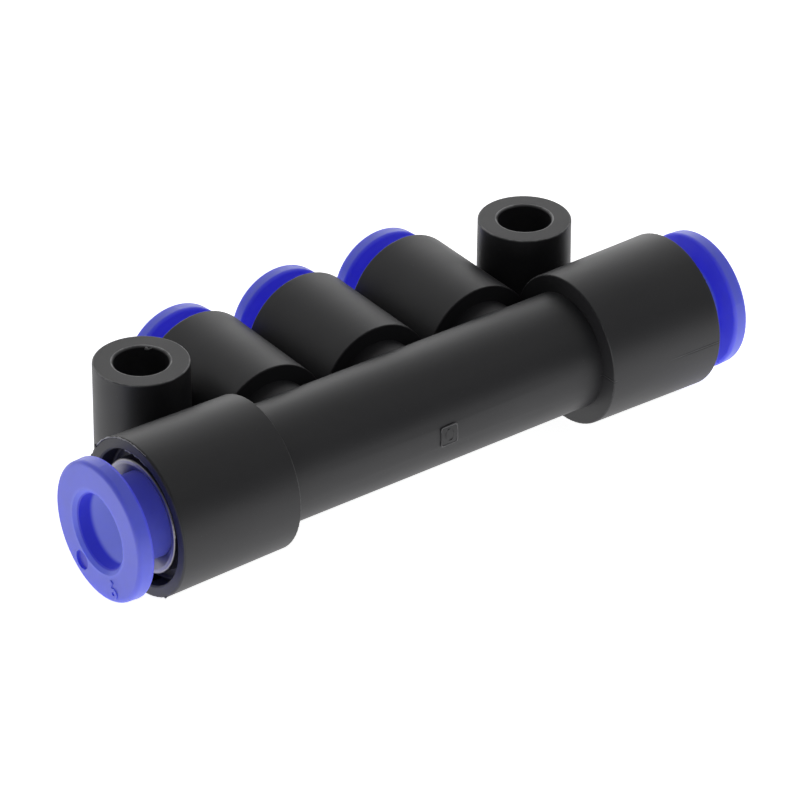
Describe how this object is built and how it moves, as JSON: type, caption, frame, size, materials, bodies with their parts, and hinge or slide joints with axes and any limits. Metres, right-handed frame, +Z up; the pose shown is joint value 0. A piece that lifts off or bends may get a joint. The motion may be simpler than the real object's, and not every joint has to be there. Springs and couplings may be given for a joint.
{
  "type": "pneumatic manifold",
  "caption": "Push-in pneumatic manifold: black body, blue release rings, tube ports at both ends and on one side, two mounting bosses.",
  "frame": {"origin": "midway between the two mounting holes, in the plane of the boss undersides", "axes": "+X along the body towards end B, +Y towards the side ports, +Z up along the mounting holes"},
  "size_m": [0.06, 0.0249, 0.0131],
  "materials": {
    "body_plastic": "satin black moulded PBT",
    "ring_plastic": "blue moulded acetal, soft sheen",
    "collar_steel": "drawn and tumbled stainless steel",
    "claw_steel": "bright stainless spring strip",
    "back_ring_plastic": "natural acetal",
    "seal_rubber": "black nitrile rubber"
  },
  "bodies": {
    "manifold": {"body": "body_plastic", "end_a_guide_collar": "collar_steel", "end_a_claw_ring": "claw_steel", "end_a_back_ring": "back_ring_plastic", "end_a_tube_seal": "seal_rubber", "end_b_guide_collar": "collar_steel", "end_b_claw_ring": "claw_steel", "end_b_back_ring": "back_ring_plastic", "end_b_tube_seal": "seal_rubber", "side_1_guide_collar": "collar_steel", "side_1_claw_ring": "claw_steel", "side_1_back_ring": "back_ring_plastic", "side_1_tube_seal": "seal_rubber", "side_2_guide_collar": "collar_steel", "side_2_claw_ring": "claw_steel", "side_2_back_ring": "back_ring_plastic", "side_2_tube_seal": "seal_rubber", "side_3_guide_collar": "collar_steel", "side_3_claw_ring": "claw_steel", "side_3_back_ring": "back_ring_plastic", "side_3_tube_seal": "seal_rubber"},
    "end_a_ring": {"end_a_release_ring": "ring_plastic"},
    "end_b_ring": {"end_b_release_ring": "ring_plastic"},
    "side_1_ring": {"side_1_release_ring": "ring_plastic"},
    "side_2_ring": {"side_2_release_ring": "ring_plastic"},
    "side_3_ring": {"side_3_release_ring": "ring_plastic"}
  },
  "joints": [
    {"name": "end_a_press", "type": "slide", "parent": "manifold", "child": "end_a_ring", "axis": [1, 0, 0], "range_m": [0, 0.0021], "stiffness_N_per_m": 1500, "springref_m": -0.0006, "deforming": ["end_a_claw_ring"]},
    {"name": "end_b_press", "type": "slide", "parent": "manifold", "child": "end_b_ring", "axis": [-1, 0, 0], "range_m": [0, 0.0021], "stiffness_N_per_m": 1500, "springref_m": -0.0006, "deforming": ["end_b_claw_ring"]},
    {"name": "side_1_press", "type": "slide", "parent": "manifold", "child": "side_1_ring", "axis": [0, -1, 0], "range_m": [0, 0.00185], "stiffness_N_per_m": 1500, "springref_m": -0.0006, "deforming": ["side_1_claw_ring"]},
    {"name": "side_2_press", "type": "slide", "parent": "manifold", "child": "side_2_ring", "axis": [0, -1, 0], "range_m": [0, 0.00185], "stiffness_N_per_m": 1500, "springref_m": -0.0006, "deforming": ["side_2_claw_ring"]},
    {"name": "side_3_press", "type": "slide", "parent": "manifold", "child": "side_3_ring", "axis": [0, -1, 0], "range_m": [0, 0.00185], "stiffness_N_per_m": 1500, "springref_m": -0.0006, "deforming": ["side_3_claw_ring"]}
  ]
}
